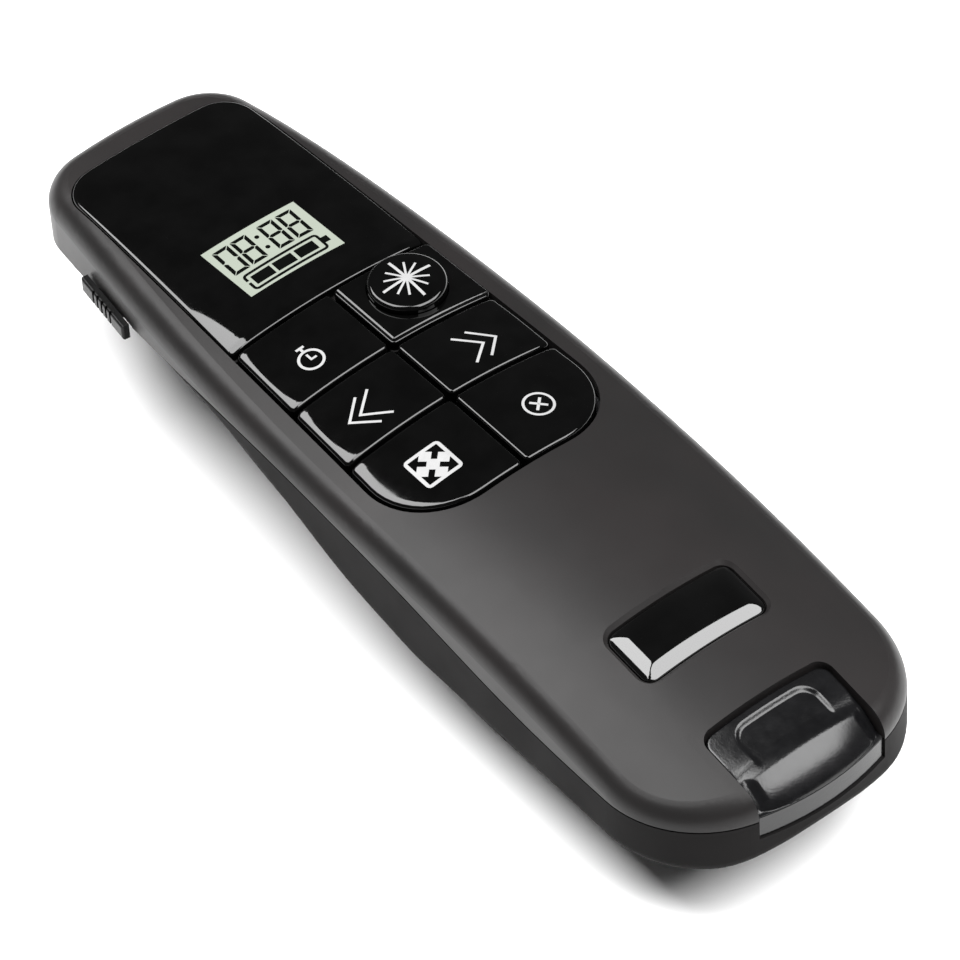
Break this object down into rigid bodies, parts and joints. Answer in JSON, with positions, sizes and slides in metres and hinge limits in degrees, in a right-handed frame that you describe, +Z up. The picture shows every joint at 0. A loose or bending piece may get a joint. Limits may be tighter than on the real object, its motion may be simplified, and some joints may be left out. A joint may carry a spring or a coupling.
{
  "type": "wireless presentation clicker",
  "caption": "Slim hand-held presentation clicker with a crowned two-part housing, small display, glossy key field, laser key, side switch, sliding battery door and stowed receiver.",
  "frame": {"origin": "under the middle of the housing, on the surface that the clicker rests on", "axes": "+Y towards the laser end, +Z up through the keys, +X to the right when the laser end points away from the user"},
  "size_m": [0.0382, 0.128, 0.026],
  "materials": {
    "housing": "soft-touch matte",
    "gloss_black": "polished",
    "receiver_black": "satin gloss with a fine grain",
    "plated_steel": "nickel plated",
    "circuit_board": "green solder mask",
    "gold_contact": "gold flash",
    "silicone": "matte",
    "switch_metal": "stamped sheet",
    "display_glass": "polished",
    "inner_plastic": "moulded",
    "chip_black": "moulded epoxy",
    "knob_black": "moulded",
    "laser_brass": "turned",
    "clear_window": "polished",
    "cell_wrap": "printed sleeve, plain",
    "screw_steel": "black zinc"
  },
  "bodies": {
    "housing": {"top_case": "housing", "bottom_case": "housing", "display_lens": "gloss_black", "laser_panel": "gloss_black", "badge": "gloss_black", "keypad_mat": "silicone", "main_board": "circuit_board", "key_switches": "switch_metal", "display_glass": "display_glass", "display_holder": "inner_plastic", "radio_chip": "chip_black", "crystal": "plated_steel", "slide_switch": "switch_metal", "laser_module": "laser_brass", "laser_bezel": "knob_black", "laser_window": "clear_window", "left_cell": "cell_wrap", "right_cell": "cell_wrap", "rear_contacts": "plated_steel", "front_contact": "plated_steel", "rear_spring": "plated_steel", "front_spring": "plated_steel", "case_screws": "screw_steel"},
    "timer": {"timer_key": "gloss_black"},
    "previous": {"previous_key": "gloss_black"},
    "next": {"next_key": "gloss_black"},
    "full_screen": {"full_screen_key": "gloss_black"},
    "escape": {"escape_key": "gloss_black"},
    "laser": {"laser_key": "gloss_black"},
    "switch": {"switch_knob": "knob_black"},
    "door": {"battery_door": "housing"},
    "receiver": {"receiver_cover": "receiver_black", "receiver_base": "receiver_black", "usb_plug_shell": "plated_steel", "receiver_board": "circuit_board", "usb_contacts": "gold_contact"}
  },
  "joints": [
    {"name": "timer_press", "type": "slide", "parent": "housing", "child": "timer", "axis": [0, 0, -1], "range_m": [0, 0.0004], "stiffness_N_per_m": 400},
    {"name": "previous_press", "type": "slide", "parent": "housing", "child": "previous", "axis": [0, 0, -1], "range_m": [0, 0.0004], "stiffness_N_per_m": 400},
    {"name": "next_press", "type": "slide", "parent": "housing", "child": "next", "axis": [0, 0, -1], "range_m": [0, 0.0004], "stiffness_N_per_m": 400},
    {"name": "full_screen_press", "type": "slide", "parent": "housing", "child": "full_screen", "axis": [0, 0, -1], "range_m": [0, 0.0004], "stiffness_N_per_m": 400},
    {"name": "escape_press", "type": "slide", "parent": "housing", "child": "escape", "axis": [0, 0, -1], "range_m": [0, 0.0004], "stiffness_N_per_m": 400},
    {"name": "laser_press", "type": "slide", "parent": "housing", "child": "laser", "axis": [0, 0, -1], "range_m": [0, 0.0004], "stiffness_N_per_m": 400},
    {"name": "switch_slide", "type": "slide", "parent": "housing", "child": "switch", "axis": [-0.1192, -0.9929, 0], "range_m": [0, 0.0026]},
    {"name": "door_slide", "type": "slide", "parent": "housing", "child": "door", "axis": [0, -1, 0], "range_m": [0, 0.01]},
    {"name": "receiver_pull", "type": "slide", "parent": "housing", "child": "receiver", "axis": [0, -1, 0], "range_m": [0, 0.024]}
  ]
}
